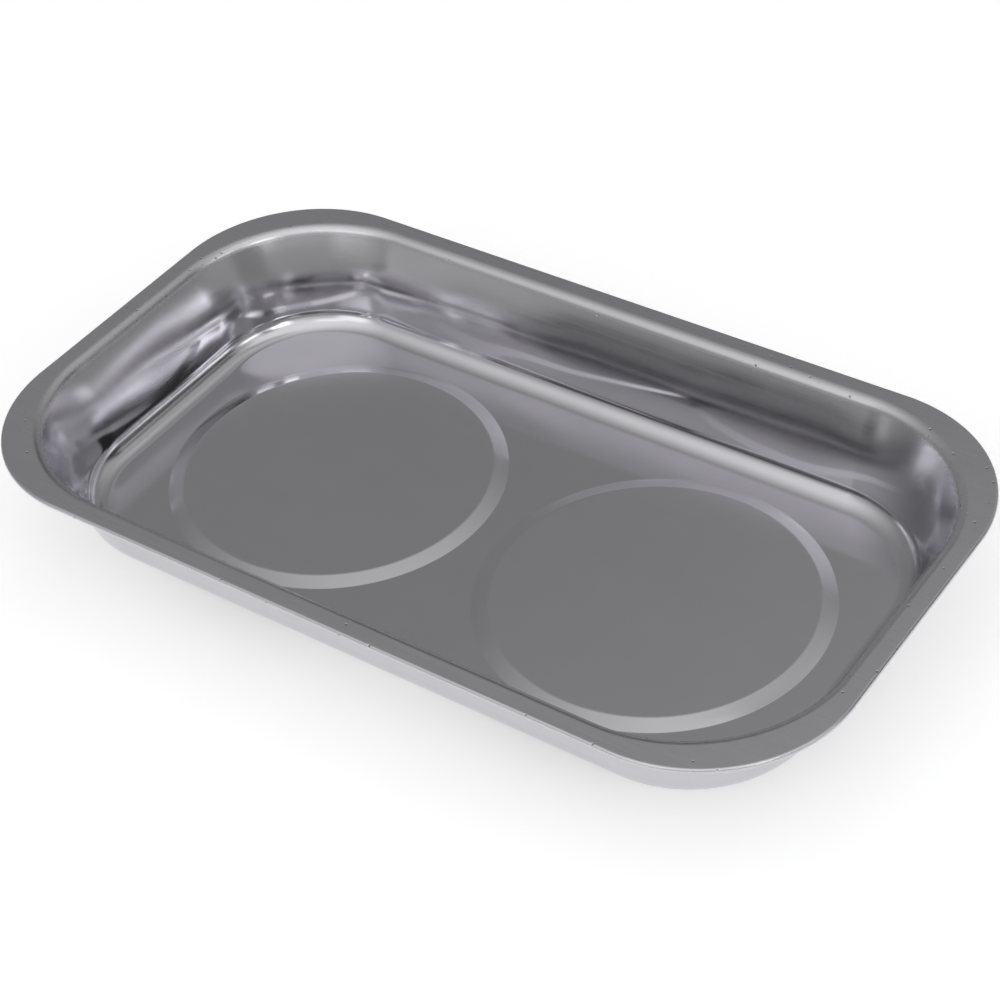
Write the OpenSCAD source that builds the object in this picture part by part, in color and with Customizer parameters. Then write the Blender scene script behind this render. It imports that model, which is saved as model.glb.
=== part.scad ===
// Magnetic parts tray: a pressed stainless dish on two ferrite ring magnets in rubber boots.
// The dish is sized round its magnets: each magnet pack seats under a raised circle in the floor.
// Origin: middle of the footprint, on the surface that the boots stand on. X is the long way, Z is up.

/* [Magnets] */
// Outer diameter of the ferrite ring
magnet_d = 72; // [60:1:90]
// Bore of the ferrite ring
magnet_bore = 32; // [30:1:40]
// Thickness of the ferrite ring
magnet_h = 10; // [8:0.5:20]

/* [Rubber boots] */
// Side wall of the boot
boot_wall = 3.2; // [2:0.1:5]
// Base of the boot, under the retainer
boot_base = 1.6; // [1:0.1:3]
// Rounding of the boot's lower edges
boot_round = 1.2; // [0.4:0.1:1.8]
// Play between the boot's wall and the ferrite ring
boot_play = 0.3; // [0.1:0.1:1]

/* [Retainer plates] */
// Sheet of the retainer
retainer_t = 1.2; // [0.8:0.1:1.6]
// Tight side of the bends at its pressed hub
retainer_bend = 1; // [0.6:0.1:1.4]
// Run of the hub's leaning wall, towards the middle
hub_run = 4.5; // [4:0.1:6]
// Play between the hub's foot and the ferrite ring's bore
hub_play = 0.5; // [0.2:0.1:1]

/* [Fasteners] */
// Thread diameter of the weld stud
stud_d = 5; // [4:0.5:6]
// Height of the stud's end above the surface that the tray stands on
stud_lift = 0.7; // [0.3:0.1:2]
// Thread that shows past the nut
stud_past_nut = 1.1; // [0.6:0.1:2]
// Chamfer at the stud's end
stud_chamfer = 0.6; // [0.3:0.1:1]
// Margin of the stud's weld flange beyond its thread
weld_flange_margin = 0.75; // [0.4:0.05:1.2]
// Thickness of the weld flange
weld_flange_h = 1; // [0.6:0.1:1.4]
// Wall of the spacer tube
spacer_wall = 2; // [1:0.1:3]
// Play of the pieces that slip over the stud
stud_play = 0.15; // [0.1:0.05:0.3]
// Width of the nut across its flats
nut_flats = 8; // [7:0.5:10]
// Height of the nut
nut_h = 4; // [3:0.1:5]
// Diameter of the flat washer
washer_d = 10; // [9:0.5:14]
// Thickness of the flat washer
washer_h = 1; // [0.8:0.1:1.6]
// Diameter of the spring washer
spring_d = 9.2; // [8:0.1:11]
// Thickness of the spring washer
spring_h = 1.2; // [1:0.1:1.6]
// Slit in the spring washer
spring_slit = 0.5; // [0.2:0.1:1]

/* [Dish] */
// Stainless sheet
sheet = 0.6; // [0.4:0.1:0.8]
// Depth from the rim's top to the floor
depth = 27.4; // [18:0.1:45]
// Flat floor left between the two raised circles
circle_gap = 7; // [2:0.1:30]
// Flat floor left beyond the raised circles at each end
floor_end = 6.1; // [2:0.1:30]
// Flat floor left beside the raised circles
floor_side = 4.8; // [2:0.1:30]
// Corner radius of the flat floor
floor_corner = 27; // [20:0.5:36]
// Bend radius between floor and wall
floor_fillet = 6; // [3:0.1:8]
// Reach of wall and rim outwards from the flat floor
wall_reach = 20; // [17:0.1:30]

/* [Rim] */
// Flat width of the rim on the straight sides
rim_flat = 4.3; // [4:0.1:8]
// Bend radius between wall and rim
rim_bend = 2; // [1.2:0.1:4]
// Corner radius of the rim's outer edge
rim_corner = 39; // [30:0.5:45]
// Width of the edge that is folded under
hem_w = 3.5; // [2:0.1:3.8]
// Slit left between the rim and the folded edge
hem_slit = 0.2; // [0.1:0.05:0.4]

/* [Raised circles] */
// Height of a raised circle above the floor
raised_h = 0.8; // [0.6:0.1:1.5]
// Width of the sloping border of a raised circle
border_run = 4.5; // [3:0.1:6]
// Rounding at both ends of the sloping border
border_round = 2; // [1:0.1:3]
// Play between the boot and the flat of the raised circle
seat_play = 1.2; // [0.5:0.1:3]

/* [Hidden] */
$fn = 96;
// Length by which a cut runs past the faces that it opens
overrun = 2;
// Turn of one facet of a bend in sheet, in degrees
bend_facet = 10;
// Width of the nut's flat face, of its width across flats
nut_face_share = 0.95;
nut_chamfer_angle = 30;
sides = ["left", "right"];
pack_parts = ["stud", "spacer", "magnet", "retainer", "boot", "washer", "spring_washer", "nut"];

// Radii of the magnet pack, from the ferrite ring outwards to the sloping border
magnet_r = magnet_d / 2;
boot_inner_r = magnet_r + boot_play;
boot_r = boot_inner_r + boot_wall;
raised_r = boot_r + seat_play;
border_r = raised_r + border_run;
hub_foot_r = magnet_bore / 2 - hub_play;
hub_top_r = hub_foot_r - hub_run;
slip_r = stud_d / 2 + stud_play;
weld_flange_r = stud_d / 2 + weld_flange_margin;
spacer_bore_r = weld_flange_r + stud_play;

// Heights of the magnet pack, from the surface upwards
magnet_z = boot_base + retainer_t;
seat_z = magnet_z + magnet_h;
nut_z = stud_lift + stud_past_nut;
spring_z = nut_z + nut_h;
washer_z = spring_z + spring_h;
hub_z = washer_z + washer_h;
spacer_z = hub_z + retainer_t;

// Plan and heights of the dish
circle_x = circle_gap / 2 + border_r;
floor_half = [circle_x + border_r + floor_end, border_r + floor_side];
rim_half = floor_half + [wall_reach, wall_reach];
body_axis = floor_half - [floor_corner, floor_corner];
rim_axis = rim_half - [rim_corner, rim_corner];
wall_run = wall_reach - rim_flat;
floor_z = seat_z + sheet - raised_h;
rim_z = floor_z + depth;
hem_round = sheet + hem_slit / 2;

steel = "#b9babd";
zinc = "#a9adb0";
ferrite = "#3a3a3c";
rubber = "#1d1d1f";

function heading(angle) = [cos(angle), sin(angle)];

// Lean of a pressed wall from upright: the line that touches both of its bends
function lean(run, rise, foot, brow) =
    let (span = [run, rise - foot - brow])
    atan2(span.x, span.y) - asin((foot + brow) / norm(span));

// Points of an arc, at steps of about one facet
function arc(centre, radius, from, to) =
    let (steps = ceil(abs(to - from) / bend_facet))
    [for (i = [0 : steps]) centre + radius * heading(from + (to - from) * i / steps)];

function reversed(points) = [for (i = [len(points) - 1 : -1 : 0]) points[i]];

// One face of a pressed step: low flat, foot bend, leaning wall, brow bend, high flat.
// It lies the length below under the step's upper face, whose bend radii are foot and brow.
function step_face(run, rise, foot, brow, low_flat, high_flat, below) =
    let (tilt = lean(run, rise, foot, brow))
    concat(
        [if (low_flat > 0) [-low_flat, -below]],
        arc([0, foot], foot + below, -90, -tilt),
        arc([run, rise - brow], brow - below, 180 - tilt, 90),
        [if (high_flat > 0) [run + high_flat, rise - below]]
    );

// Outline of sheet that climbs outwards, with the foot of its upper face at the origin
function pressed_step(run, rise, foot, brow, low_flat, high_flat, thickness) =
    concat(
        step_face(run, rise, foot, brow, low_flat, high_flat, 0),
        reversed(step_face(run, rise, foot, brow, low_flat, high_flat, thickness))
    );

// Round sheet with a low outer flat and a high middle
module pressed_hub(outer_r, foot_r, top_r, rise, foot, brow, thickness) {
    outline = pressed_step(foot_r - top_r, rise, foot, brow, outer_r - foot_r, top_r, thickness);
    rotate_extrude()
        polygon([for (point = outline) [max(0, foot_r - point.x), point.y]]);
}

// Carries a section round a rounded rectangle whose corner axes lie at half distances axis
module carry_round(axis) {
    for (turn = [0 : 3]) {
        along = turn % 2 == 0 ? axis.y : axis.x;
        away = turn % 2 == 0 ? axis.x : axis.y;
        rotate(turn * 90) {
            translate([away, 0, 0])
                rotate([90, 0, 0])
                    linear_extrude(2 * along, center = true)
                        children();
            translate([away, along, 0])
                rotate_extrude(angle = 90)
                    children();
        }
    }
}

// Flat plate with round corners, standing on the plane of its lower face
module rounded_plate(axis, corner, thickness) {
    carry_round(axis)
        square([corner, thickness]);
    translate([-axis.x, -axis.y, 0])
        cube([2 * axis.x, 2 * axis.y, thickness]);
}

// Floor, walls and the bend up to the rim
module dish_body() {
    translate([0, 0, floor_z]) {
        carry_round(body_axis)
            translate([floor_corner, 0])
                polygon(pressed_step(
                    wall_run, depth, floor_fillet, rim_bend, floor_corner, 0, sheet
                ));
        translate([-body_axis.x, -body_axis.y, -sheet])
            cube([2 * body_axis.x, 2 * body_axis.y, sheet]);
    }
}

// Section of the folded edge, with the middle of its round fold at the origin
module hem_section() {
    flat = hem_w - hem_round;
    slit = hem_slit / 2;
    polygon(concat(
        [[-flat, -hem_round]],
        arc([0, 0], hem_round, -90, 90),
        [[-flat, hem_round], [-flat, slit], [0, slit], [0, -slit], [-flat, -slit]]
    ));
}

// Flat rim with its outer edge folded under
module rim() {
    translate([0, 0, rim_z]) {
        translate([0, 0, -sheet])
            difference() {
                rounded_plate(rim_axis, rim_corner - hem_w, sheet);
                translate([0, 0, -overrun])
                    rounded_plate(body_axis, floor_corner + wall_run, sheet + 2 * overrun);
            }
        carry_round(rim_axis)
            translate([rim_corner - hem_round, -hem_round])
                hem_section();
    }
}

module raised_circle() {
    translate([0, 0, floor_z])
        pressed_hub(border_r, border_r, raised_r, raised_h, border_round, border_round, sheet);
}

module dish() {
    color(steel) {
        difference() {
            dish_body();
            for (x = [-circle_x, circle_x])
                translate([x, 0, floor_z - sheet - overrun])
                    cylinder(r = border_r, h = sheet + 2 * overrun);
        }
        rim();
        for (x = [-circle_x, circle_x])
            translate([x, 0, 0])
                raised_circle();
    }
}

module tube(outer_r, inner_r, height) {
    difference() {
        cylinder(r = outer_r, h = height);
        translate([0, 0, -overrun])
            cylinder(r = inner_r, h = height + 2 * overrun);
    }
}

// Threaded stud, welded to the dish by the flange at its upper end
module stud() {
    thread_r = stud_d / 2;
    color(zinc)
        rotate_extrude()
            polygon([
                [0, stud_lift],
                [thread_r - stud_chamfer, stud_lift],
                [thread_r, stud_lift + stud_chamfer],
                [thread_r, seat_z - weld_flange_h],
                [weld_flange_r, seat_z - weld_flange_h],
                [weld_flange_r, seat_z],
                [0, seat_z]
            ]);
}

module spacer() {
    color(zinc)
        translate([0, 0, spacer_z])
            tube(spacer_bore_r + spacer_wall, spacer_bore_r, seat_z - spacer_z);
}

module magnet() {
    color(ferrite)
        translate([0, 0, magnet_z])
            tube(magnet_r, magnet_bore / 2, magnet_h);
}

// Pressed plate that carries the magnet on its flange and hangs from the stud by its hub
module retainer() {
    color(zinc)
        difference() {
            translate([0, 0, magnet_z])
                pressed_hub(
                    magnet_r, hub_foot_r, hub_top_r, spacer_z - magnet_z,
                    retainer_bend, retainer_bend + retainer_t, retainer_t
                );
            translate([0, 0, hub_z - overrun])
                cylinder(r = slip_r, h = retainer_t + 2 * overrun);
        }
}

// Corner to take off so that an edge at the origin becomes round, for material towards +X and +Y
module edge_round(radius) {
    difference() {
        translate([-overrun, -overrun])
            square(radius + overrun);
        translate([radius, radius])
            circle(radius);
    }
}

module boot() {
    color(rubber)
        rotate_extrude()
            difference() {
                union() {
                    translate([hub_foot_r, 0])
                        square([boot_r - hub_foot_r, boot_base]);
                    translate([boot_inner_r, 0])
                        square([boot_wall, seat_z]);
                }
                translate([boot_r, 0])
                    mirror([1, 0])
                        edge_round(boot_round);
                translate([hub_foot_r, 0])
                    edge_round(boot_round);
            }
}

module washer() {
    color(zinc)
        translate([0, 0, washer_z])
            tube(washer_d / 2, slip_r, washer_h);
}

// Split ring, drawn pressed flat by the nut
module spring_washer() {
    slit_angle = spring_slit / (PI * spring_d) * 360;
    color(zinc)
        translate([0, 0, spring_z])
            rotate_extrude(angle = 360 - slit_angle)
                translate([slip_r, 0])
                    square([spring_d / 2 - slip_r, spring_h]);
}

// Hex nut with both faces chamfered
module nut() {
    face_r = nut_flats / 2 * nut_face_share;
    waist_r = face_r + nut_h / 2 / tan(nut_chamfer_angle);
    color(zinc)
        translate([0, 0, nut_z])
            difference() {
                intersection() {
                    cylinder(r = nut_flats / 2 / cos(30), h = nut_h, $fn = 6);
                    rotate_extrude()
                        polygon([
                            [0, 0],
                            [face_r, 0],
                            [waist_r, nut_h / 2],
                            [face_r, nut_h],
                            [0, nut_h]
                        ]);
                }
                translate([0, 0, -overrun])
                    cylinder(r = slip_r, h = nut_h + 2 * overrun);
            }
}

module pack_piece(piece) {
    if (piece == "stud") stud();
    if (piece == "spacer") spacer();
    if (piece == "magnet") magnet();
    if (piece == "retainer") retainer();
    if (piece == "boot") boot();
    if (piece == "washer") washer();
    if (piece == "spring_washer") spring_washer();
    if (piece == "nut") nut();
}

dish();
for (side = sides, piece = pack_parts)
    translate([side == "left" ? -circle_x : circle_x, 0, 0])
            pack_piece(piece);
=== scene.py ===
"""Magnetic parts tray: a pressed stainless dish that stands on two ring magnets in rubber boots.

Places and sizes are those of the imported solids, apart from the dish's floor, rim bend and walls,
which are drawn as the press leaves them, and the stud's thread. Sizes are in millimetres and
become metres when a mesh is made.
"""

import cmath
import logging
import math
from collections.abc import Mapping, Sequence
from dataclasses import dataclass
from enum import Enum

import bpy
import numpy as np
from bpy.types import Material, NodeSocket, NodeTree, Object
from mathutils import Euler, Matrix, Vector


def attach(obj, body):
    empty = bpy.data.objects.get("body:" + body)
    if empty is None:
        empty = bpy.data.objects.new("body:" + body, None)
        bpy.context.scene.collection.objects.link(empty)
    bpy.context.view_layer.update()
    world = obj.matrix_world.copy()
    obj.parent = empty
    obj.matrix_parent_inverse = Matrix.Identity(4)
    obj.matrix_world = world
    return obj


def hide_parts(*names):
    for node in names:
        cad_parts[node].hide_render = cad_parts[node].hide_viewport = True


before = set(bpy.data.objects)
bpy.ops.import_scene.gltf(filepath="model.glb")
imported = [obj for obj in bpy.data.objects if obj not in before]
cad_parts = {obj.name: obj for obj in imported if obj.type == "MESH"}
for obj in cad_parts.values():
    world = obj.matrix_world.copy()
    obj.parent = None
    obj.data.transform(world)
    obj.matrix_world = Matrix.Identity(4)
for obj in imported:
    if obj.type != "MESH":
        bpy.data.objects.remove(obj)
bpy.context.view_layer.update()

LOG = logging.getLogger("parts_tray")
MM = 0.001  # metres
FULL_TURN, QUARTER_TURN = 360.0, 90.0
WELD = 1e-4  # points in one cell of this size become one
CELL_SHIFT = 1 / math.e  # keeps round sizes off the cells' borders
LEAST_SHARE = 1e-6  # keeps a share of height above zero where it divides
NUDGE = 1e-9  # radians that put a hexagon's corner on one of its two flats
NOISE_SPAN = (0.3, 0.7)  # most of a noise lies between these
Span = tuple[float, float]  # from and to
Settings = Mapping[str | int, object]
Sockets = Mapping[str | int, NodeSocket]


class Side(Enum):
    """The end of the tray that a magnet pack sits under; the value is the sign of its X."""

    LEFT = -1
    RIGHT = 1


class Slot(Enum):
    """The record's material slots."""

    SHEET = "stainless_sheet"
    PLATED = "zinc_plated_steel"
    FERRITE = "ferrite"
    RUBBER = "black_rubber"


# Surfaces


def ahead_of(heading: np.ndarray) -> np.ndarray:
    """The unit vectors along the headings, given in radians."""
    return np.stack([np.cos(heading), np.sin(heading)], -1)


def left_of(heading: np.ndarray) -> np.ndarray:
    """The unit vectors a quarter turn to the left of the headings, given in radians."""
    return np.stack([-np.sin(heading), np.cos(heading)], -1)


@dataclass(frozen=True)
class Way:
    """The way that a section is carried along, as stations.

    A station puts a section point of half width w and corner axis a at
    (a + stretch, a) * corner + (w - a) * out, so one section runs along straight sides and
    turns about its corner axes.
    """

    corner: np.ndarray
    out: np.ndarray
    stretch: float = 0.0
    closed: bool = True

    @classmethod
    def round(cls, stations: int, sweep: float = FULL_TURN) -> "Way":
        """A circle about Z, or an arc of it from the X axis.

        Args:
            stations: number of steps.
            sweep: angle of the arc in degrees.
        Returns:
            The way, closed if it goes all the way round.
        """
        closed = sweep >= FULL_TURN
        out = ahead_of(np.radians(sweep) * np.arange(stations + (not closed)) / stations)
        return cls(np.zeros_like(out), out, closed=closed)

    @classmethod
    def rounded_rectangle(cls, stretch: float, sides: tuple[int, int], turn_steps: int) -> "Way":
        """A rectangle with round corners, as four straight sides each followed by a quarter turn.

        Args:
            stretch: how much longer than wide it is, as half lengths.
            sides: steps along a side parallel to Y, and along one parallel to X.
            turn_steps: steps of a corner.
        Returns:
            The closed way, counterclockwise from the low end of the +X side.
        """
        corners, outs = [], []
        for quarter in range(4):
            turn = np.linalg.matrix_power(np.array([[0, -1], [1, 0]]), quarter)
            first, last, out = turn @ [1, -1], turn @ [1, 1], turn @ [1, 0]
            steps = sides[quarter % 2]
            share = np.arange(steps)[:, None] / steps
            angle = np.pi / 2 * (quarter + np.arange(turn_steps) / turn_steps)
            corners += [first + (last - first) * share, np.tile(last, (turn_steps, 1))]
            outs += [np.tile(out, (steps, 1)), ahead_of(angle)]
        return cls(np.concatenate(corners), np.concatenate(outs), stretch)

    def around(self, width: float, axis: float) -> np.ndarray:
        """The plan points of the ring at one half width."""
        return self.corner * [axis + self.stretch, axis] + (width - axis) * self.out


@dataclass(frozen=True)
class Corner:
    """A corner of a section: half width, height, rounding radius and corner axis."""

    width: float
    height: float
    radius: float = 0.0
    axis: float = 0.0


@dataclass(frozen=True)
class Strip:
    """A smooth stretch of a section: half width, height, corner axis and facing at each point."""

    width: np.ndarray
    height: np.ndarray
    axis: np.ndarray
    facing: np.ndarray


def rounded_section(
    corners: Sequence[Corner], step: float, closed: bool = True, facet: float = math.inf
) -> list[Strip]:
    """Rounds a polygon off into straight strips and arcs that touch both sides of their corner.

    The piece lies on the right hand of the way round, so its surface faces left. An arc begins
    radius * tan(turn / 2) before its corner, and its centre is the radius to the inner side.

    Args:
        corners: the polygon's corners in order.
        step: most that one facet of an arc turns, in degrees.
        closed: whether the last corner joins the first.
        facet: longest facet.
    Returns:
        The strips in order.
    """
    place = np.array([[c.width, c.height] for c in corners])
    axis = np.array([c.axis for c in corners])
    radius = np.array([c.radius for c in corners])
    side = np.roll(place, -1, 0) - place
    heading = np.arctan2(side[:, 1], side[:, 0])
    turn = (heading - np.roll(heading, 1) + np.pi) % (2 * np.pi) - np.pi
    if not closed:
        turn[[0, -1]] = 0
    tangent = radius * np.tan(np.abs(turn) / 2)
    ahead = ahead_of(heading)
    count, strips = len(corners), []
    for i in range(count if closed else count - 1):
        if radius[i] > 0 and turn[i]:
            bend = np.sign(turn[i]) * radius[i]
            facets = max(math.degrees(abs(turn[i])) / step, abs(bend * turn[i]) / facet)
            at = heading[i] - turn[i] * np.linspace(1, 0, math.ceil(facets) + 1)
            start = place[i] - tangent[i] * ahead[i - 1]
            arc = start + bend * (left_of(at[0]) - left_of(at))
            strips.append(Strip(arc[:, 0], arc[:, 1], np.full(len(at), axis[i]), left_of(at)))
        j = (i + 1) % count
        ends = place[i] + tangent[i] * ahead[i], place[j] - tangent[j] * ahead[i]
        length = np.linalg.norm(ends[1] - ends[0])
        if length > WELD:
            share = np.linspace(0, 1, max(1, math.ceil(length / facet)) + 1)
            run = ends[0] + (ends[1] - ends[0]) * share[:, None]
            facing = np.tile(left_of(heading[i]), (len(share), 1))
            along = axis[i] + (axis[j] - axis[i]) * share
            strips.append(Strip(run[:, 0], run[:, 1], along, facing))
    return strips


@dataclass(frozen=True)
class Patch:
    """A grid of surface points and facings, first along the way and then across it."""

    points: np.ndarray
    facing: np.ndarray
    closed: bool = True

    @classmethod
    def carried(cls, strip: Strip, way: Way) -> "Patch":
        """A strip carried along a way: each station turns and moves the whole strip.

        Args:
            strip: the stretch of section.
            way: the stations.
        Returns:
            The grid of stations by section points.
        """
        half = np.stack([strip.axis + way.stretch, strip.axis], 1)
        out = way.out[:, None, :]
        plan = way.corner[:, None, :] * half + (strip.width - strip.axis)[:, None] * out
        height = np.broadcast_to(strip.height, plan.shape[:2])[..., None]
        lift = np.broadcast_to(strip.facing[:, 1], plan.shape[:2])[..., None]
        facing = np.concatenate([strip.facing[:, :1] * out, lift], 2)
        return cls(np.concatenate([plan, height], 2), facing, way.closed)

    @classmethod
    def lathe(cls, radius: np.ndarray, height: np.ndarray, angle: np.ndarray) -> "Patch":
        """Points at radius(angle, row) and height(angle, row).

        Each faces along the cross product of the lines between its neighbours.

        Args:
            radius: stations by rows.
            height: stations by rows.
            angle: station angles in radians, all the way round.
        Returns:
            The closed grid.
        """
        turn = ahead_of(angle)[:, None, :]
        points = np.concatenate([radius[..., None] * turn, height[..., None]], 2)
        along = np.roll(points, -1, 0) - np.roll(points, 1, 0)
        facing = np.cross(np.gradient(points, axis=1), along)
        size = np.linalg.norm(facing, axis=2, keepdims=True)
        return cls(points, np.divide(facing, size, out=np.zeros_like(facing), where=size > 0))

    def faces(self) -> np.ndarray:
        """Grid indices of each face's four corners, so that it faces outwards."""
        stations, rows = self.points.shape[:2]
        number = np.arange(stations * rows).reshape(stations, rows)
        nxt = np.roll(number, -1, 0) if self.closed else number[1:]
        here = number if self.closed else number[:-1]
        corners = here[:, :-1], here[:, 1:], nxt[:, 1:], nxt[:, :-1]
        return np.stack(corners, -1).reshape(-1, 4)


@dataclass
class Shell:
    """A piece's closed surface, made of patches whose edges meet."""

    name: str
    patches: list[Patch]
    offset: tuple[float, float, float] = (0.0, 0.0, 0.0)

    def build(self, crease: float | None = None) -> Object:
        """Welds the patches into one mesh and keeps their own facings at its faces' corners.

        Points that round to the same place become one, and a face with two corners in one place
        becomes a triangle, which closes seams and poles.

        Args:
            crease: degrees past which an edge is sharp, in place of the patches' facings.
        Returns:
            The object, at the origin.
        """
        points = np.concatenate([p.points.reshape(-1, 3) for p in self.patches])
        facing = np.concatenate([p.facing.reshape(-1, 3) for p in self.patches])
        starts = np.cumsum([0] + [p.points[..., 0].size for p in self.patches[:-1]])
        faces = np.concatenate([p.faces() + start for p, start in zip(self.patches, starts)])
        cell = np.floor(points / WELD + CELL_SHIFT).astype(np.int64)
        _, first, number = np.unique(cell, axis=0, return_index=True, return_inverse=True)
        welded = number.reshape(-1)[faces]
        doubled = welded == np.roll(welded, -1, 1)
        quad, triangle = doubled.sum(1) == 0, doubled.sum(1) == 1
        kept = ~doubled[triangle]
        corners = welded[quad].tolist() + welded[triangle][kept].reshape(-1, 3).tolist()
        mesh = bpy.data.meshes.new(self.name)
        place = (points[first] + self.offset) * MM
        mesh.from_pydata(place.tolist(), [], corners, shade_flat=False)
        if crease is None:
            order = np.concatenate([faces[quad].reshape(-1), faces[triangle][kept]])
            mesh.normals_split_custom_set(facing[order].tolist())
        else:
            mesh.set_sharp_from_angle(angle=math.radians(crease))
        mesh.update()
        thing = bpy.data.objects.new(self.name, mesh)
        bpy.context.scene.collection.objects.link(thing)
        return thing


def dress(thing: Object, material: Material, node: str) -> None:
    """Gives a piece its material, seats it on the frame and hides the solid that it stands for.

    Args:
        thing: the new piece.
        material: its finish.
        node: the solid's name.
    """
    thing.data.materials.append(material)
    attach(thing, "root")
    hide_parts(node)
    LOG.info("%s: %d faces, stands for %s", thing.name, len(thing.data.polygons), node)


# Finishes


def linear(colour: str) -> tuple[float, float, float, float]:
    """An sRGB hex colour as linear red, green, blue and full alpha."""
    part = [int(colour[i : i + 2], 16) / 255 for i in (1, 3, 5)]
    return (*[c / 12.92 if c <= 0.04045 else ((c + 0.055) / 1.055) ** 2.4 for c in part], 1.0)


def add(
    tree: NodeTree, kind: str, settings: Settings | None = None, links: Sockets | None = None
) -> Sockets:
    """Adds one node.

    Args:
        tree: the node tree.
        kind: the node's class name without its ShaderNode prefix.
        settings: values of its properties, or of its inputs by name or number.
        links: the sockets that feed its inputs.
    Returns:
        Its outputs.
    """
    node = tree.nodes.new("ShaderNode" + kind)
    for key, value in (settings or {}).items():
        if isinstance(key, int) or key in node.inputs:
            node.inputs[key].default_value = value
        else:
            setattr(node, key, value)
    for key, socket in (links or {}).items():
        tree.links.new(socket, node.inputs[key])
    return node.outputs


def new_tree(name: str) -> tuple[Material, NodeTree]:
    """An empty node material and its tree."""
    material = bpy.data.materials.new(name)
    material.use_nodes = True
    material.node_tree.nodes.clear()
    return material, material.node_tree


@dataclass(frozen=True)
class Relief:
    """A bump: how much of it shows, its depth, and whether it goes inwards."""

    strength: float
    depth: float
    inwards: bool = False

    def settings(self) -> Settings:
        """The settings of the node that draws it."""
        return {"Strength": self.strength, "Distance": self.depth * MM, "invert": self.inwards}


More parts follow.
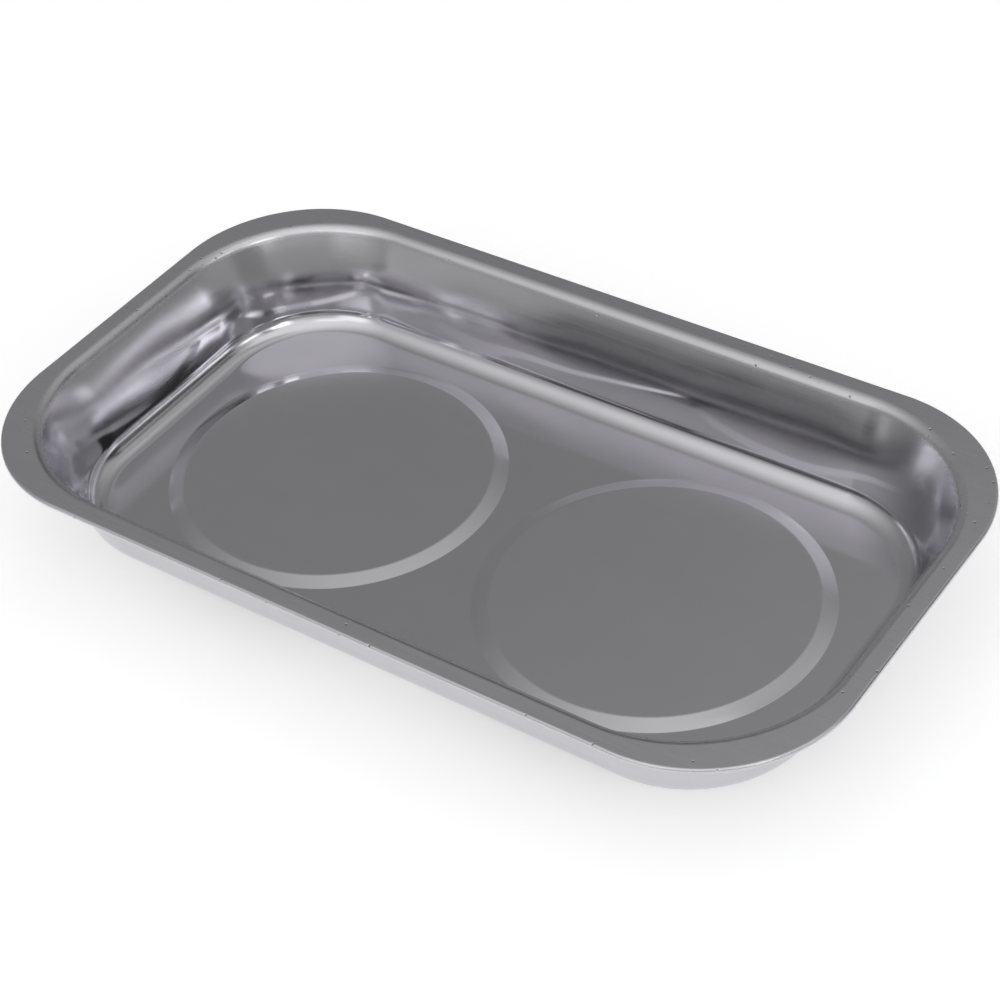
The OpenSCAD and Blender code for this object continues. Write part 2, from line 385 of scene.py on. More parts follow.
@dataclass(frozen=True)
class StainlessSheet:
    """Cold-rolled stainless sheet, pressed: bright, with rolling lines along the tray.

    The lower walls, wiped by the press tool, reflect clearly. The upper walls are a little dull.
    The rim, which the blank holder gripped, is a satin with small pits, and each pit's colour is
    darkened as painted shade. The punch's edge left the wall's foot scuffed. Pairs of heights are
    where a mask starts and is full.
    """

    colour: str = "#cbcace"
    dull_colour: str = "#c3c2c6"
    roughness: Span = (0.07, 0.12)
    rim_roughness: Span = (0.26, 0.36)
    rim: Span = (37.0, 38.4)
    foot_low: Span = (12.35, 13.0)
    foot_high: Span = (16.0, 15.0)
    foot_share: float = 0.45
    drawn: Span = (23.0, 31.0)
    drawn_share: float = 0.4
    line_mm: tuple[float, float, float] = (60.0, 0.6, 0.6)
    line_roughness: float = 0.65
    line_relief: Relief = Relief(0.06, 0.004)
    cloud_mm: float = 14.0
    grain_mm: float = 0.5
    grain_relief: Relief = Relief(0.35, 0.03)
    pit_mm: float = 3.0
    pit_share: float = 0.14
    pit_rarity: float = 0.5
    # Painted shade: the darker colour that is mixed into the pits
    pit_shade_colour: str = "#77767a"
    pit_relief: Relief = Relief(1.0, 0.2, True)

    def masks(self, tree: NodeTree, place: NodeSocket) -> tuple[NodeSocket, NodeSocket]:
        """Where the sheet is dull, by height.

        Args:
            tree: the node tree.
            place: the Object coordinates.
        Returns:
            The mask of the rim, and that of the rim, the upper wall and the wall's foot together.
        """
        height = add(tree, "SeparateXYZ", links={0: place})["Z"]
        rim, low, high, wall = (
            add(tree, "MapRange", {
                "interpolation_type": "SMOOTHSTEP",
                "From Min": start * MM, "From Max": full * MM, "To Max": most,
            }, {"Value": height})[0]
            for (start, full), most in (
                (self.rim, 1.0), (self.foot_low, 1.0),
                (self.foot_high, self.foot_share), (self.drawn, self.drawn_share),
            )
        )
        foot = add(tree, "Math", {"operation": "MULTIPLY"}, {0: low, 1: high})[0]
        upper = add(tree, "Math", {"operation": "MAXIMUM"}, {0: rim, 1: wall})[0]
        return rim, add(tree, "Math", {"operation": "MAXIMUM"}, {0: upper, 1: foot})[0]

    def material(self) -> Material:
        """The finish as a node material: rolling lines, a faint cloud, and pits in the rim,
        darkened with painted shade.
        """
        material, tree = new_tree("bright_rolled_stainless_sheet")
        place = add(tree, "TexCoord")["Object"]
        rim, worn = self.masks(tree, place)
        # Rolling lines are finer than this on the sheet; drawn coarser, so that they show
        run = add(tree, "VectorMath", {
            "operation": "MULTIPLY", 1: tuple(1 / (size * MM) for size in self.line_mm),
        }, {0: place})[0]
        lines, cloud, grain = (
            add(tree, "TexNoise", settings, {"Vector": at})[0]
            for at, settings in (
                (run, {"Scale": 1.0, "Detail": 3.0, "Roughness": self.line_roughness}),
                (place, {"Scale": 1 / (self.cloud_mm * MM), "Detail": 4.0}),
                (place, {"Scale": 1 / (self.grain_mm * MM), "Detail": 2.0}),
            )
        )
        cells = add(tree, "TexVoronoi", {"Scale": 1 / (self.pit_mm * MM)}, {"Vector": place})
        chance = add(tree, "SeparateColor", links={0: cells["Color"]})[0]
        few = add(tree, "Math", {"operation": "GREATER_THAN", 1: self.pit_rarity}, {0: chance})[0]
        pit = add(tree, "MapRange", {"From Min": self.pit_share, "From Max": 0.0}, {
            "Value": cells["Distance"],
        })[0]
        held, coarse = (
            add(tree, "Math", {"operation": "MULTIPLY"}, {0: rim, 1: other})[0]
            for other in (few, grain)
        )
        pit_dents_and_shade = add(tree, "Math", {"operation": "MULTIPLY"}, {0: held, 1: pit})[0]
        sheet = add(tree, "Mix", {
            "data_type": "RGBA", 6: linear(self.colour), 7: linear(self.dull_colour),
        }, {0: cloud})[2]
        # Painted shade: the pits' colour is darkened, on top of their inward relief
        sheet_with_pit_shade = add(tree, "Mix", {"data_type": "RGBA", 7: linear(self.pit_shade_colour)}, {
            0: pit_dents_and_shade, 6: sheet,
        })[2]
        clear, satin = (
            add(tree, "MapRange", {
                "From Min": NOISE_SPAN[0], "From Max": NOISE_SPAN[1], "To Min": low, "To Max": high,
            }, {"Value": noise})[0]
            for (low, high), noise in ((self.roughness, cloud), (self.rim_roughness, lines))
        )
        shine = add(tree, "Mix", {"data_type": "FLOAT"}, {0: worn, 2: clear, 3: satin})[0]
        normal = {}
        for relief, height in (
            (self.line_relief, lines), (self.grain_relief, coarse), (self.pit_relief, pit_dents_and_shade),
        ):
            bump = add(tree, "Bump", relief.settings(), {"Height": height, **normal})
            normal = {"Normal": bump[0]}
        shader = add(tree, "BsdfPrincipled", {"Metallic": 1.0}, {
            "Base Color": sheet_with_pit_shade, "Roughness": shine, **normal,
        })[0]
        add(tree, "OutputMaterial", links={"Surface": shader})
        return material


@dataclass(frozen=True)
class Mottled:
    """A surface whose colour drifts between two values, and its roughness too if it has a pair.

    One noise, the cloud, mixes each pair over a span of it, and another is the grain's relief. A
    noise has a size, a detail and a roughness.
    """

    name: str
    colours: tuple[str, str]
    cloud: tuple[float, float, float]
    grain: tuple[float, float, float]
    relief: Relief
    shader: Settings
    colour_span: Span = (0.0, 1.0)
    roughness: Span | None = None
    roughness_span: Span = NOISE_SPAN

    def material(self) -> Material:
        """The finish as a node material on Object coordinates."""
        material, tree = new_tree(self.name)
        place = add(tree, "TexCoord")["Object"]
        cloud, grain = (
            add(tree, "TexNoise", {
                "Scale": 1 / (size * MM), "Detail": detail, "Roughness": rough,
            }, {"Vector": place})[0]
            for size, detail, rough in (self.cloud, self.grain)
        )
        start, full = self.colour_span
        share = add(tree, "MapRange", {"From Min": start, "From Max": full}, {"Value": cloud})[0]
        links = {
            "Base Color": add(tree, "Mix", {
                "data_type": "RGBA", 6: linear(self.colours[0]), 7: linear(self.colours[1]),
            }, {0: share})[2],
            "Normal": add(tree, "Bump", self.relief.settings(), {"Height": grain})[0],
        }
        if self.roughness:
            (start, full), (low, high) = self.roughness_span, self.roughness
            links["Roughness"] = add(tree, "MapRange", {
                "From Min": start, "From Max": full, "To Min": low, "To Max": high,
            }, {"Value": cloud})[0]
        shader = add(tree, "BsdfPrincipled", self.shader, links)[0]
        add(tree, "OutputMaterial", links={"Surface": shader})
        return material


# Bright zinc on mild steel: a cool grey metal, a little cloudy, with the fine grain of the plating
ZINC_PLATE = Mottled(
    "zinc_plated_mild_steel", ("#a7abae", "#c3c7ca"), cloud=(3.0, 3.0, 0.5),
    grain=(0.25, 2.0, 0.5), relief=Relief(0.25, 0.02), shader={"Metallic": 1.0},
    roughness=(0.24, 0.40),
)
# Fired strontium ferrite, ground on its faces: dark grey and dull, with a sintered grain
FERRITE_CERAMIC = Mottled(
    "ground_ferrite_ceramic", ("#2a2a2c", "#3d3d40"), cloud=(0.4, 4.0, 0.5),
    grain=(0.4, 4.0, 0.5), relief=Relief(0.4, 0.03), shader={"Roughness": 0.62},
)
# Nitrile rubber from a spark-eroded mould: black and finely matt, with dull patches from handling
MOULDED_RUBBER = Mottled(
    "black_moulded_nitrile_rubber", ("#1c1c1e", "#29292b"), cloud=(9.0, 5.0, 0.6),
    grain=(0.45, 2.0, 0.5), relief=Relief(0.5, 0.04), shader={"IOR": 1.52},
    colour_span=(0.35, 0.75), roughness=(0.52, 0.72), roughness_span=(0.35, 0.75),
)


# The tray


@dataclass(frozen=True)
class Wave:
    """A ripple round the wall: its size, how many go round, and where it starts in one."""

    size: float
    count: int
    phase: float


@dataclass
class Dish:
    """The pressed dish: floor with two raised circles, leaning walls, flat rim and folded edge."""

    finish: StainlessSheet
    sheet: float = 0.6
    floor_top: float = 12.3
    rim_top: float = 40.0
    stretch: float = 50.0
    floor_half: float = 50.0
    floor_axis: float = 23.0
    floor_fillet: float = 6.0
    mouth_half: float = 65.7
    wall_radius: float = 77.0
    rim_bend: float = 3.0
    rim_half: float = 70.0
    rim_axis: float = 31.0
    hem_width: float = 3.5
    hem_slit: float = 0.2
    edge_break: float = 0.08
    circle_x: float = 48.7
    raised_flat: float = 40.7
    raised_foot: float = 45.2
    raised_height: float = 1.1
    raised_brow: float = 2.5
    raised_bend: float = 1.0
    side_push: float = 0.32
    corner_push: float = -0.22
    waves: tuple[Wave, ...] = (
        Wave(0.226, 3, 0.081), Wave(0.034, 5, 0.081), Wave(0.021, 8, 0.208),
        Wave(0.095, 12, 0.286), Wave(0.044, 17, 0.606), Wave(0.033, 24, 0.254),
    )
    ripple_power: float = 0.82
    wall_step: float = 5.0
    wall_facet: float = 1.2
    circle_step: float = 2.0
    circle_facet: float = 10.0
    floor_rings: int = 6
    long_steps: int = 72
    short_steps: int = 36
    turn_steps: int = 40

    @staticmethod
    def climb(run: float, rise: float, foot: float, brow: float) -> float:
        """The slope of the straight wall between two bends of a pressed step.

        The line from bend centre to bend centre leans by atan(run / height between them), and the
        wall that touches both bends leans less, by asin(sum of radii / that line).

        Args:
            run: level distance between the bend centres.
            rise: height of the step.
            foot: radius of the lower bend.
            brow: radius of the upper bend.
        Returns:
            The angle above level in radians.
        """
        between = rise - foot - brow
        lean = math.atan2(run, between) - math.asin((foot + brow) / math.hypot(run, between))
        return math.pi / 2 - lean

    def flare(self) -> Span:
        """The wall's slope at its foot and at its brow.

        The wall is an arc that touches both bends. It bulges into the dish, so the sum of its
        radius and the foot's parts their centres, and the difference for the brow's.

        Returns:
            The slopes above level in radians.
        """
        foot = complex(self.floor_half, self.floor_top + self.floor_fillet)
        brow = complex(self.mouth_half, self.rim_top - self.rim_bend)
        far, near = self.wall_radius + self.floor_fillet, self.wall_radius - self.rim_bend
        gap = abs(brow - foot)
        along = (gap**2 + far**2 - near**2) / (2 * gap)
        centre = foot + (brow - foot) / gap * complex(along, -math.sqrt(far**2 - along**2))
        return tuple(cmath.phase((centre - bend) * 1j) for bend in (foot, brow))

    def wall_corners(self, below: float) -> list[Corner]:
        """The corners of one face of the wall.

        Args:
            below: depth of the face under the sheet's upper face.
        Returns:
            The corners from the floor's edge to the brow.
        """
        low, high = self.flare()
        foot, brow = self.floor_fillet + below, self.rim_bend - below
        bulge = self.wall_radius - below
        run = bulge * math.tan((low - high) / 2)
        level = self.floor_top - below
        middle = self.floor_half + foot * math.sin(low) + run * math.cos(low)
        rise = level + foot * (1 - math.cos(low)) + run * math.sin(low)
        places = (
            (self.floor_half, level, 0),
            (self.floor_half + foot * math.tan(low / 2), level, foot),
            (middle, rise, bulge),
            (self.mouth_half - brow * math.tan(high / 2), self.rim_top - below, brow),
        )
        return [Corner(*place, self.floor_axis) for place in places]

    def wall_section(self) -> list[Strip]:
        """The sheet's section.

        Returns:
            The strips from the floor's edge up, over the rim, round the fold and back below.
        """
        under_rim = self.rim_top - self.sheet
        leg_top = under_rim - self.hem_slit
        leg_low = leg_top - self.sheet
        fold = (self.rim_top - leg_low) / 2
        tip, slit_end = self.rim_half - self.hem_width, self.rim_half - fold
        hem = (
            (self.rim_half, self.rim_top, fold),
            (self.rim_half, leg_low, fold),
            (tip, leg_low, self.edge_break),
            (tip, leg_top, self.edge_break),
            (slit_end, leg_top, 0),
            (slit_end, under_rim, 0),
        )
        corners = [
            *self.wall_corners(0),
            *[Corner(*place, self.rim_axis) for place in hem],
            *self.wall_corners(self.sheet)[::-1],
        ]
        return rounded_section(corners, self.wall_step, closed=False, facet=self.wall_facet)

    def pressed(self, strip: Strip, way: Way) -> Patch:
        """A wall strip carried round the dish and rippled as the press leaves it.

        At share t of the wall's height and share u of the way round, the sheet stands inwards by
        sin(pi t^ripple_power) squared times a push. The push is side_push + corner_push *
        sin(2 heading) squared, plus each wave's size * sin(2 pi (count * u + phase)). Place and
        slope stay at the bends, and both faces move alike, so the sheet keeps its thickness.

        Args:
            strip: a stretch of the section.
            way: the way round the dish.
        Returns:
            The patch; a strip that isn't a wall is only carried.
        """
        patch = Patch.carried(strip, way)
        tall = np.ptp(strip.height)
        if tall < self.floor_fillet:
            return patch
        ring = way.around(strip.width.mean(), strip.axis.mean())
        step = np.linalg.norm(np.roll(ring, -1, 0) - ring, axis=1)
        go = np.concatenate([[0], np.cumsum(step)])
        turn = 2 * np.pi * go[:-1] / go[-1]
        push = self.corner_push * (2 * way.out[:, 0] * way.out[:, 1]) ** 2 + self.side_push
        push = push + sum(
            wave.size * np.sin(wave.count * turn + 2 * np.pi * wave.phase) for wave in self.waves
        )
        slant = ((np.roll(push, -1) - np.roll(push, 1)) / (step + np.roll(step, 1)))[:, None]
        push = push[:, None]
        rise = np.maximum((strip.height - strip.height.min()) / tall, LEAST_SHARE)
        share = np.pi * rise**self.ripple_power
        window = np.sin(share) ** 2
        lean = np.sin(2 * share) * share * self.ripple_power / (rise * tall)
        out = way.out[:, None, :]
        along = out[..., ::-1] * [-1, 1]
        patch.points[..., :2] -= out * (push * window)[..., None]
        slope = -strip.facing[:, 1] / strip.facing[:, 0]
        plan = -out - along * (slant * window)[..., None]
        normal = np.concatenate([plan, (slope - push * lean)[..., None]], 2)
        normal *= -np.sign(strip.facing[0, 0])
        return Patch(patch.points, normal / np.linalg.norm(normal, axis=2, keepdims=True))

    def circle_section(self, below: float) -> list[Strip]:
        """One face of the raised circle, from its middle to the foot of its border.

        Args:
            below: depth of the face under the sheet's upper face.
        Returns:
            The strips from the middle outwards.
        """
        run = self.raised_foot - self.raised_flat
        slope = self.climb(run, self.raised_height, self.raised_bend, self.raised_brow)
        share = math.tan(slope / 2)
        low = self.floor_top - below
        high = low + self.raised_height
        foot, brow = self.raised_bend + below, self.raised_brow - below
        corners = [
            Corner(0, high),
            Corner(self.raised_flat + brow * share, high, brow),
            Corner(self.raised_foot - foot * share, low, foot),
            Corner(self.raised_foot, low),
        ]
        return rounded_section(corners, self.circle_step, closed=False, facet=self.circle_facet)

    def half_floor(self, way: Way, below: float) -> list[Patch]:
        """The floor's +X half: rings about the raised circle that open out to the half's edge.

        A ray from the circle's middle goes to each point of the half's edge, which is the floor's
        edge for X above zero and the middle line. Inside the border's foot the section is
        carried round the circle; outside, points run in equal steps along the rays.

        Args:
            way: the way round the dish.
            below: depth of the face under the sheet's upper face.
        Returns:
            The patches of the half.
        """
        edge = way.around(self.floor_half, self.floor_axis)
        edge = np.roll(edge, self.turn_steps + self.long_steps // 2, 0)[: len(edge) // 2 + 1]
        share = np.linspace(1, -1, self.short_steps + self.turn_steps)[1:-1]
        middle = self.floor_half * np.stack([np.zeros_like(share), share], 1)
        ray = np.concatenate([edge, middle]) - [self.circle_x, 0]
        out = ray / np.linalg.norm(ray, axis=1, keepdims=True)
        about = Way(np.zeros_like(out), out)
        patches = [Patch.carried(strip, about) for strip in self.circle_section(below)]
        share = np.linspace(0, 1, self.floor_rings)[:, None]
        start = (self.raised_foot * out)[:, None, :]
        plan = start + (ray[:, None, :] - start) * share
        level = np.full((*plan.shape[:2], 1), self.floor_top - below)
        up = np.broadcast_to([0.0, 0.0, 1.0], (*plan.shape[:2], 3))
        patches.append(Patch(np.concatenate([plan, level], 2), up))
        return [Patch(p.points + [self.circle_x, 0, 0], p.facing) for p in patches]

    def build(self) -> None:
        """Makes the dish and dresses it."""
        sides = self.short_steps, self.long_steps
        way = Way.rounded_rectangle(self.stretch, sides, self.turn_steps)
        patches = [self.pressed(strip, way) for strip in self.wall_section()]
        for below in (0.0, self.sheet):
            for face in self.half_floor(way, below):
                if below:
                    face = Patch(face.points[:, ::-1], -face.facing[:, ::-1])
                for turn in ([1, 1, 1], [-1, -1, 1]):
                    patches.append(Patch(face.points * turn, face.facing * turn))
        thing = Shell("pressed_dish", patches).build()
        dress(thing, self.finish.material(), "dish")


@dataclass
class MagnetPack:
    """A ring magnet in a rubber boot, on a pressed plate that a stud and nut hold to the dish."""

    side: Side
    finishes: Mapping[Slot, Material]
    centre_x: float = 48.7
    seat: float = 12.8
    edge_break: float = 0.15
    boot_radius: float = 39.5
    boot_inner: float = 36.3
    boot_hole: float = 15.5
    boot_base: float = 1.6
    boot_round: float = 1.2
    magnet_radius: float = 36.0
    magnet_bore: float = 16.0
    magnet_low: float = 2.8
    magnet_chamfer: float = 0.5
    plate: float = 1.2
    plate_bend: float = 1.0
    hub_top: float = 11.0
    hub_height: float = 9.2
    slip: float = 2.65
    spacer_radius: float = 5.4
    spacer_bore: float = 3.4
    washer_radius: float = 5.0
    washer_low: float = 7.0
    washer_high: float = 8.0
    spring_radius: float = 4.6
    spring_low: float = 5.8
    spring_slit: float = 0.5
    nut_flats: float = 8.0
    nut_low: float = 1.8
    nut_face_share: float = 0.95
    nut_chamfer: float = 30.0
    nut_mouth: float = 0.3
    nut_step: float = 5.0
    nut_crease: float = 20.0
    thread_radius: float = 2.5
    thread_pitch: float = 0.8
    thread_depth_share: float = 0.54
    thread_root_share: float = 0.25
    thread_crest_share: float = 0.125
    thread_step: float = 7.5
    thread_rows: int = 12
    stud_low: float = 0.7
    stud_chamfer: float = 0.6
    flange_radius: float = 3.25
    flange_low: float = 11.8
    bend_step: float = 15.0
    wide_stations: int = 144
    plate_stations: int = 120
    small_stations: int = 72

    def turned(self, corners: Sequence[Corner], stations: int, closed: bool = True) -> list[Patch]:
        """A section turned about the pack's axis.

        Args:
            corners: the section's corners, with the piece on the right hand.
            stations: steps of the turn.
            closed: whether the section's last corner joins its first.
        Returns:
            A patch for each strip of the section.
        """
        way = Way.round(stations)
        strips = rounded_section(corners, self.bend_step, closed)
        return [Patch.carried(strip, way) for strip in strips]

    @staticmethod
    def ring(outer: float, inner: float, low: float, high: float, edge: float) -> list[Corner]:
        """The section of a plain ring with all four edges rounded."""
        places = (inner, high), (outer, high), (outer, low), (inner, low)
        return [Corner(*place, edge) for place in places]

    def boot(self) -> list[Patch]:
        """The rubber boot: a flat ring to stand on and a wall round the magnet."""
        edge = self.edge_break
        section = [
            Corner(self.boot_hole, self.boot_base, edge),
            Corner(self.boot_inner, self.boot_base, edge),
            Corner(self.boot_inner, self.seat, edge),
            Corner(self.boot_radius, self.seat, edge),
            Corner(self.boot_radius, 0, self.boot_round),
            Corner(self.boot_hole, 0, self.boot_round),
        ]
        return self.turned(section, self.wide_stations)

    def magnet(self) -> list[Patch]:
        """The ferrite ring."""
        size = self.magnet_radius, self.magnet_bore, self.magnet_low, self.seat
        return self.turned(self.ring(*size, self.magnet_chamfer), self.wide_stations)

    def retainer(self) -> list[Patch]:
        """The pressed plate: a flange under the magnet and a hub that rises to the spacer."""
        foot, brow = self.plate_bend, self.plate_bend + self.plate
        rise = self.hub_height - self.magnet_low
        share = math.tan(Dish.climb(self.boot_hole - self.hub_top, rise, foot, brow) / 2)
        low, web = self.magnet_low - self.plate, self.hub_height - self.plate
        edge = self.edge_break
        section = [
            Corner(self.slip, self.hub_height, edge),
            Corner(self.hub_top + brow * share, self.hub_height, brow),
            Corner(self.boot_hole - foot * share, self.magnet_low, foot),
            Corner(self.magnet_radius, self.magnet_low, edge),
            Corner(self.magnet_radius, low, edge),
            Corner(self.boot_hole - brow * share, low, brow),
            Corner(self.hub_top + foot * share, web, foot),
            Corner(self.slip, web, edge),
        ]
        return self.turned(section, self.plate_stations)

    def spacer(self) -> list[Patch]:
        """The tube between the plate's hub and the dish."""
        size = self.spacer_radius, self.spacer_bore, self.hub_height, self.seat
        return self.turned(self.ring(*size, self.edge_break), self.small_stations)

    def washer(self) -> list[Patch]:
        """The flat washer."""
        size = self.washer_radius, self.slip, self.washer_low, self.washer_high
        return self.turned(self.ring(*size, self.edge_break), self.small_stations)

    def spring_washer(self) -> list[Patch]:
        """The split washer, pressed flat: a ring carried almost all the way round, and its ends.

        An end is a rim of points, counterclockwise as seen from outside, joined to their mean.

        Returns:
            The patches of its surface.
        """
        sweep = FULL_TURN - self.spring_slit / (2 * math.pi * self.spring_radius) * FULL_TURN
        size = self.spring_radius, self.slip, self.spring_low, self.washer_low
        strips = rounded_section(self.ring(*size, self.edge_break), self.bend_step)
        way = Way.round(self.small_stations, sweep)
        patches = [Patch.carried(strip, way) for strip in strips]
        first = np.concatenate([p.points[0, :-1] for p in patches])
        last = np.concatenate([p.points[-1, :-1] for p in patches])
        turn = math.radians(sweep)
        for rim, facing in (
            (first[::-1], (0.0, -1.0, 0.0)), (last, (-math.sin(turn), math.cos(turn), 0.0)),
        ):
            points = np.stack([np.broadcast_to(rim.mean(0), rim.shape), rim], 1)
            patches.append(Patch(points, np.broadcast_to(facing, points.shape)))
        return patches

    def nut(self) -> list[Patch]:
        """The hex nut: its side stands at flats / 2 / cos(angle from the flat's middle).

        A cone cuts the corners of both faces, deeper where the side is further out.

        Returns:
            The patches of its surface.
        """
        angle = np.radians(np.arange(0, FULL_TURN, self.nut_step))
        side = self.nut_flats / 2 / np.cos((angle + NUDGE) % (np.pi / 3) - np.pi / 6)
        face, bore, mouth, low, high = (np.full_like(side, size) for size in (
            self.nut_flats / 2 * self.nut_face_share, self.slip, self.slip + self.nut_mouth,
            self.nut_low, self.spring_low,
        ))
        cut = (side - face) * math.tan(math.radians(self.nut_chamfer))
        radius = np.stack([bore, mouth, face, side, side, face, mouth, bore, bore], 1)
        height = np.stack([
            high - self.nut_mouth, high, high, high - cut, low + cut, low, low,
            low + self.nut_mouth, high - self.nut_mouth,
        ], 1)
        return [Patch.lathe(radius, height, angle)]

    def stud(self) -> list[Patch]:
        """The threaded weld stud: a 60 degree thread as a function of angle and height.

        The share of a pitch at each point is height / pitch - angle / turn. The radius falls
        from crest to root with its distance from the pitch's ends, the thread runs out below
        the weld flange, and a cone trims the end.

        Returns:
            The patches of its surface.
        """
        angle = np.radians(np.arange(0, FULL_TURN, self.thread_step))
        rows = int((self.flange_low - self.stud_low) / self.thread_pitch * self.thread_rows)
        down = np.linspace(self.flange_low, self.stud_low, rows)
        height = np.broadcast_to(down, (len(angle), rows))
        share = np.abs((height / self.thread_pitch - angle[:, None] / (2 * np.pi)) % 1 * 2 - 1)
        flank = 1 - self.thread_root_share - self.thread_crest_share
        groove = 1 - np.clip((share - self.thread_root_share) / flank, 0, 1)
        runout = np.clip((self.flange_low - height) / self.thread_pitch - 1, 0, 1)
        depth = self.thread_depth_share * self.thread_pitch * groove * runout
        tip = self.thread_radius - self.stud_chamfer
        radius = np.minimum(self.thread_radius - depth, tip + height - self.stud_low)
        head = [
            Corner(0, self.seat),
            Corner(self.flange_radius, self.seat, self.edge_break),
            Corner(self.flange_radius, self.flange_low, self.edge_break),
            Corner(self.thread_radius, self.flange_low),
        ]
        end = [Corner(tip, self.stud_low), Corner(0, self.stud_low)]
        patches = self.turned(head, len(angle), False) + self.turned(end, len(angle), False)
        return [*patches, Patch.lathe(radius, height, angle)]

    def build(self) -> None:
        """Makes the pack's eight pieces, from the dish downwards, and dresses them."""
        side = self.side.name.lower()
        offset = self.side.value * self.centre_x, 0.0, 0.0
        for name, make, node, slot in (
            ("threaded_stud", self.stud, "stud", Slot.PLATED),
            ("spacer_tube", self.spacer, "spacer", Slot.PLATED),
            ("ring_magnet", self.magnet, "magnet", Slot.FERRITE),
            ("retainer_plate", self.retainer, "retainer", Slot.PLATED),
            ("rubber_boot", self.boot, "boot", Slot.RUBBER),
            ("flat_washer", self.washer, "washer", Slot.PLATED),
            ("split_washer", self.spring_washer, "spring_washer", Slot.PLATED),
            ("hex_nut", self.nut, "nut", Slot.PLATED),
        ):
            crease = self.nut_crease if node == "nut" else None
            thing = Shell(f"{side}_{name}", make(), offset).build(crease)
            dress(thing, self.finishes[slot], f"{side}_{node}")


# The studio


@dataclass(frozen=True)
class Edge:
    """An end of the tent's light: a direction, and its shares where light starts and is full."""

    towards: tuple[float, float, float]
    start: float
    full: float


@dataclass(frozen=True)
class Card:
    """A panel in front of the cloth: place, half size and soft edge in degrees, and brightness.

    Its azimuth goes from +Y towards +X, between -90 and 270.
    """

    azimuth: float
    elevation: float
    width: float
    height: float
    soft: float
    level: float


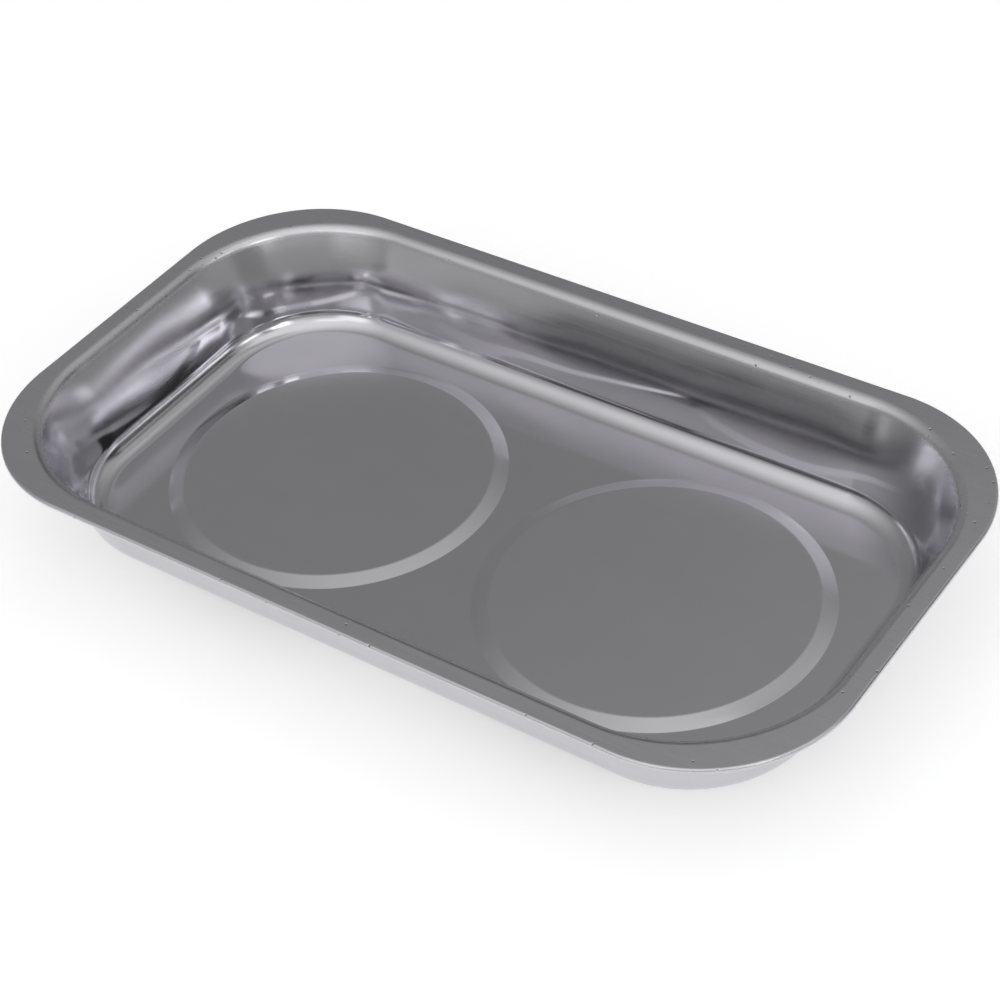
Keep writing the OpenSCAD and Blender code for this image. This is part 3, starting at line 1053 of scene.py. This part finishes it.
@dataclass
class Studio:
    """A pale floor in a cloth tent with a large soft light at the front right, and the camera.

    The cards stand for the pale panels and dark gaps that the steel mirrors. A later card covers
    an earlier one.
    """

    azimuth: float = 37.8209
    elevation: float = 41.0386
    roll: float = 5.3908
    distance: float = 609.4232
    aim_right: float = -4.3189
    aim_down: float = -12.3786
    aim_height: float = 40.0
    lens: float = 88.70
    sensor: float = 36.0
    clip: Span = (0.01, 20.0)
    room: float = 3000.0
    room_step: float = 5.0
    floor_rings: int = 9
    tent_rings: int = 19
    shade: float = 0.285
    light: float = 1.12
    edges: tuple[Edge, ...] = (
        Edge((0.789, -0.614, 0.0), -0.80, 0.27),
        Edge((-0.614, -0.789, 0.0), -1.2, -0.34),
        Edge((0.0, 0.0, 1.0), 0.0, 0.85),
    )
    cards: tuple[Card, ...] = (
        Card(184.0, 32.0, 11.5, 7.5, 8.0, 1.6),
        Card(163.0, 46.5, 14.0, 5.0, 2.5, 1.55),
        Card(112.0, 4.0, 50.0, 11.0, 7.0, 0.39),
        Card(109.0, 31.0, 8.0, 8.0, 2.0, 4.5),
        Card(29.0, 55.0, 15.0, 26.0, 6.0, 0.5),
        Card(47.0, 29.0, 9.0, 14.0, 3.0, 0.03),
        Card(37.0, 2.5, 3.3, 6.0, 1.2, 0.23),
        Card(213.5, 5.0, 4.0, 9.0, 1.5, 0.55),
        Card(205.5, 0.0, 4.0, 7.5, 2.0, 0.02),
        Card(-26.0, 22.0, 8.0, 9.0, 4.0, 0.08),
        Card(100.0, 12.0, 11.5, 16.0, 2.0, 0.28),
        Card(77.0, 31.0, 9.0, 2.0, 3.0, 2.8),
        Card(49.5, 36.0, 3.5, 6.0, 1.0, 0.45),
        Card(58.0, 43.0, 6.0, 8.0, 2.0, 0.5),
        Card(95.0, 40.0, 6.0, 6.0, 2.0, 0.05),
    )
    floor_colour: str = "#ededed"
    floor_lift: float = 0.42
    mirror_bounces: int = 8

    def camera(self) -> None:
        """Puts the camera where the photograph's was, turned by its azimuth, elevation and roll."""
        az, el, roll = (math.radians(a) for a in (self.azimuth, self.elevation, self.roll))
        aim = Euler((math.pi / 2 - el, 0, az)).to_matrix() @ Matrix.Rotation(-roll, 3, "Z")
        spot = aim @ Vector((-self.aim_right, self.aim_down, self.distance))
        data = bpy.data.cameras.new("camera")
        data.lens = self.lens
        data.sensor_width = self.sensor
        data.clip_start, data.clip_end = self.clip
        camera = bpy.data.objects.new("camera", data)
        place = aim.to_4x4()
        place.translation = (spot + Vector((0, 0, self.aim_height))) * MM
        camera.matrix_world = place
        bpy.context.scene.collection.objects.link(camera)
        bpy.context.scene.camera = camera

    @staticmethod
    def shows_background(tree: NodeTree) -> NodeSocket:
        """A socket that is 1 for rays from the camera, from metal and through glass."""
        path = add(tree, "LightPath")
        seen = path["Is Camera Ray"]
        for kind in ("Is Glossy Ray", "Is Transmission Ray"):
            seen = add(tree, "Math", {"operation": "MAXIMUM"}, {0: seen, 1: path[kind]})[0]
        return seen

    def stand(self, name: str, rows: Sequence[np.ndarray], material: Material) -> Object:
        """Puts a round part of the studio about the tray.

        Args:
            name: the part's name.
            rows: its radii and its heights, ring by ring.
            material: its material.
        Returns:
            The object.
        """
        angle = np.radians(np.arange(0, FULL_TURN, self.room_step))
        grids = (np.broadcast_to(row, (len(angle), len(row))) for row in rows)
        thing = Shell(name, [Patch.lathe(*grids, angle)]).build()
        thing.data.materials.append(material)
        return thing

    def floor(self) -> None:
        """A round pale floor that keeps the shadow; its own lift makes it white for the camera."""
        material, tree = new_tree("matt_white_floor")
        paint = add(tree, "BsdfDiffuse", {"Color": linear(self.floor_colour)})[0]
        lift = add(tree, "Emission", {"Strength": self.floor_lift})[0]
        both = add(tree, "AddShader", links={0: paint, 1: lift})[0]
        shown = self.shows_background(tree)
        mixed = add(tree, "MixShader", links={0: shown, 1: paint, 2: both})[0]
        add(tree, "OutputMaterial", links={"Surface": mixed})
        radius = np.linspace(0, self.room, self.floor_rings)
        self.stand("floor", (radius, np.zeros_like(radius)), material)

    def glow(self, tree: NodeTree) -> NodeSocket:
        """How bright the cloth is in each direction from the middle of the floor.

        The light fades at each edge, and then each card covers what is behind it.

        Args:
            tree: the cloth's node tree.
        Returns:
            The socket of the strength.
        """
        place = add(tree, "TexCoord")["Object"]
        ray = add(tree, "VectorMath", {"operation": "NORMALIZE"}, {0: place})[0]
        lit = None
        for edge in self.edges:
            dot = add(tree, "VectorMath", {"operation": "DOT_PRODUCT", 1: edge.towards}, {0: ray})
            share = add(tree, "MapRange", {
                "interpolation_type": "SMOOTHSTEP", "From Min": edge.start, "From Max": edge.full,
            }, {"Value": dot["Value"]})[0]
            both = {0: lit, 1: share}
            lit = add(tree, "Math", {"operation": "MULTIPLY"}, both)[0] if lit else share
        total = add(tree, "MapRange", {"To Min": self.shade, "To Max": self.light}, {
            "Value": lit,
        })[0]
        part = add(tree, "SeparateXYZ", links={0: ray})
        front = add(tree, "Math", {"operation": "MULTIPLY", 1: -1.0}, {0: part["Y"]})[0]
        turn = add(tree, "Math", {"operation": "ARCTAN2"}, {0: front, 1: part["X"]})[0]
        rise = add(tree, "Math", {"operation": "ARCSINE"}, {0: part["Z"]})[0]
        for card in self.cards:
            masks = {}
            for number, (angle, middle, half) in enumerate((
                (turn, card.azimuth - QUARTER_TURN, card.width),
                (rise, card.elevation, card.height),
            )):
                off = add(tree, "Math", {
                    "operation": "SUBTRACT", 1: math.radians(middle),
                }, {0: angle})[0]
                size = add(tree, "Math", {"operation": "ABSOLUTE"}, {0: off})[0]
                masks[number] = add(tree, "MapRange", {
                    "interpolation_type": "SMOOTHSTEP",
                    "From Min": math.radians(half + card.soft), "From Max": math.radians(half),
                }, {"Value": size})[0]
            cover = add(tree, "Math", {"operation": "MULTIPLY"}, masks)[0]
            total = add(tree, "Mix", {"data_type": "FLOAT", 3: card.level}, {
                0: cover, 2: total,
            })[0]
        return total

    def tent(self) -> None:
        """A half ball of lit cloth over the floor; the camera sees through it."""
        material, tree = new_tree("lit_tent_cloth")
        light = add(tree, "Emission", links={"Strength": self.glow(tree)})[0]
        add(tree, "OutputMaterial", links={"Surface": light})
        material.cycles.emission_sampling = "NONE"
        rise = np.linspace(0, np.pi / 2, self.tent_rings)
        thing = self.stand("tent", self.room * ahead_of(rise).T, material)
        thing.visible_camera = False

    def world(self) -> None:
        """Plain white for the camera, metal and glass where nothing else is in the way."""
        world = bpy.data.worlds.new("white_room")
        bpy.context.scene.world = world
        world.use_nodes = True
        tree = world.node_tree
        tree.nodes.clear()
        shown = self.shows_background(tree)
        back = add(tree, "Background", {"Color": (1.0, 1.0, 1.0, 1.0)}, {"Strength": shown})[0]
        add(tree, "OutputWorld", links={"Surface": back})

    def build(self) -> None:
        """Sets the stage."""
        self.camera()
        self.floor()
        self.tent()
        self.world()
        scene = bpy.context.scene
        scene.view_settings.view_transform = "Standard"
        scene.cycles.glossy_bounces = self.mirror_bounces


def main() -> None:
    """Builds the tray and the studio."""
    logging.basicConfig(level=logging.INFO)
    Dish(StainlessSheet()).build()
    finishes = {
        Slot.PLATED: ZINC_PLATE.material(),
        Slot.FERRITE: FERRITE_CERAMIC.material(),
        Slot.RUBBER: MOULDED_RUBBER.material(),
    }
    for side in Side:
        MagnetPack(side, finishes).build()
    Studio().build()


if __name__ == "__main__":
    main()
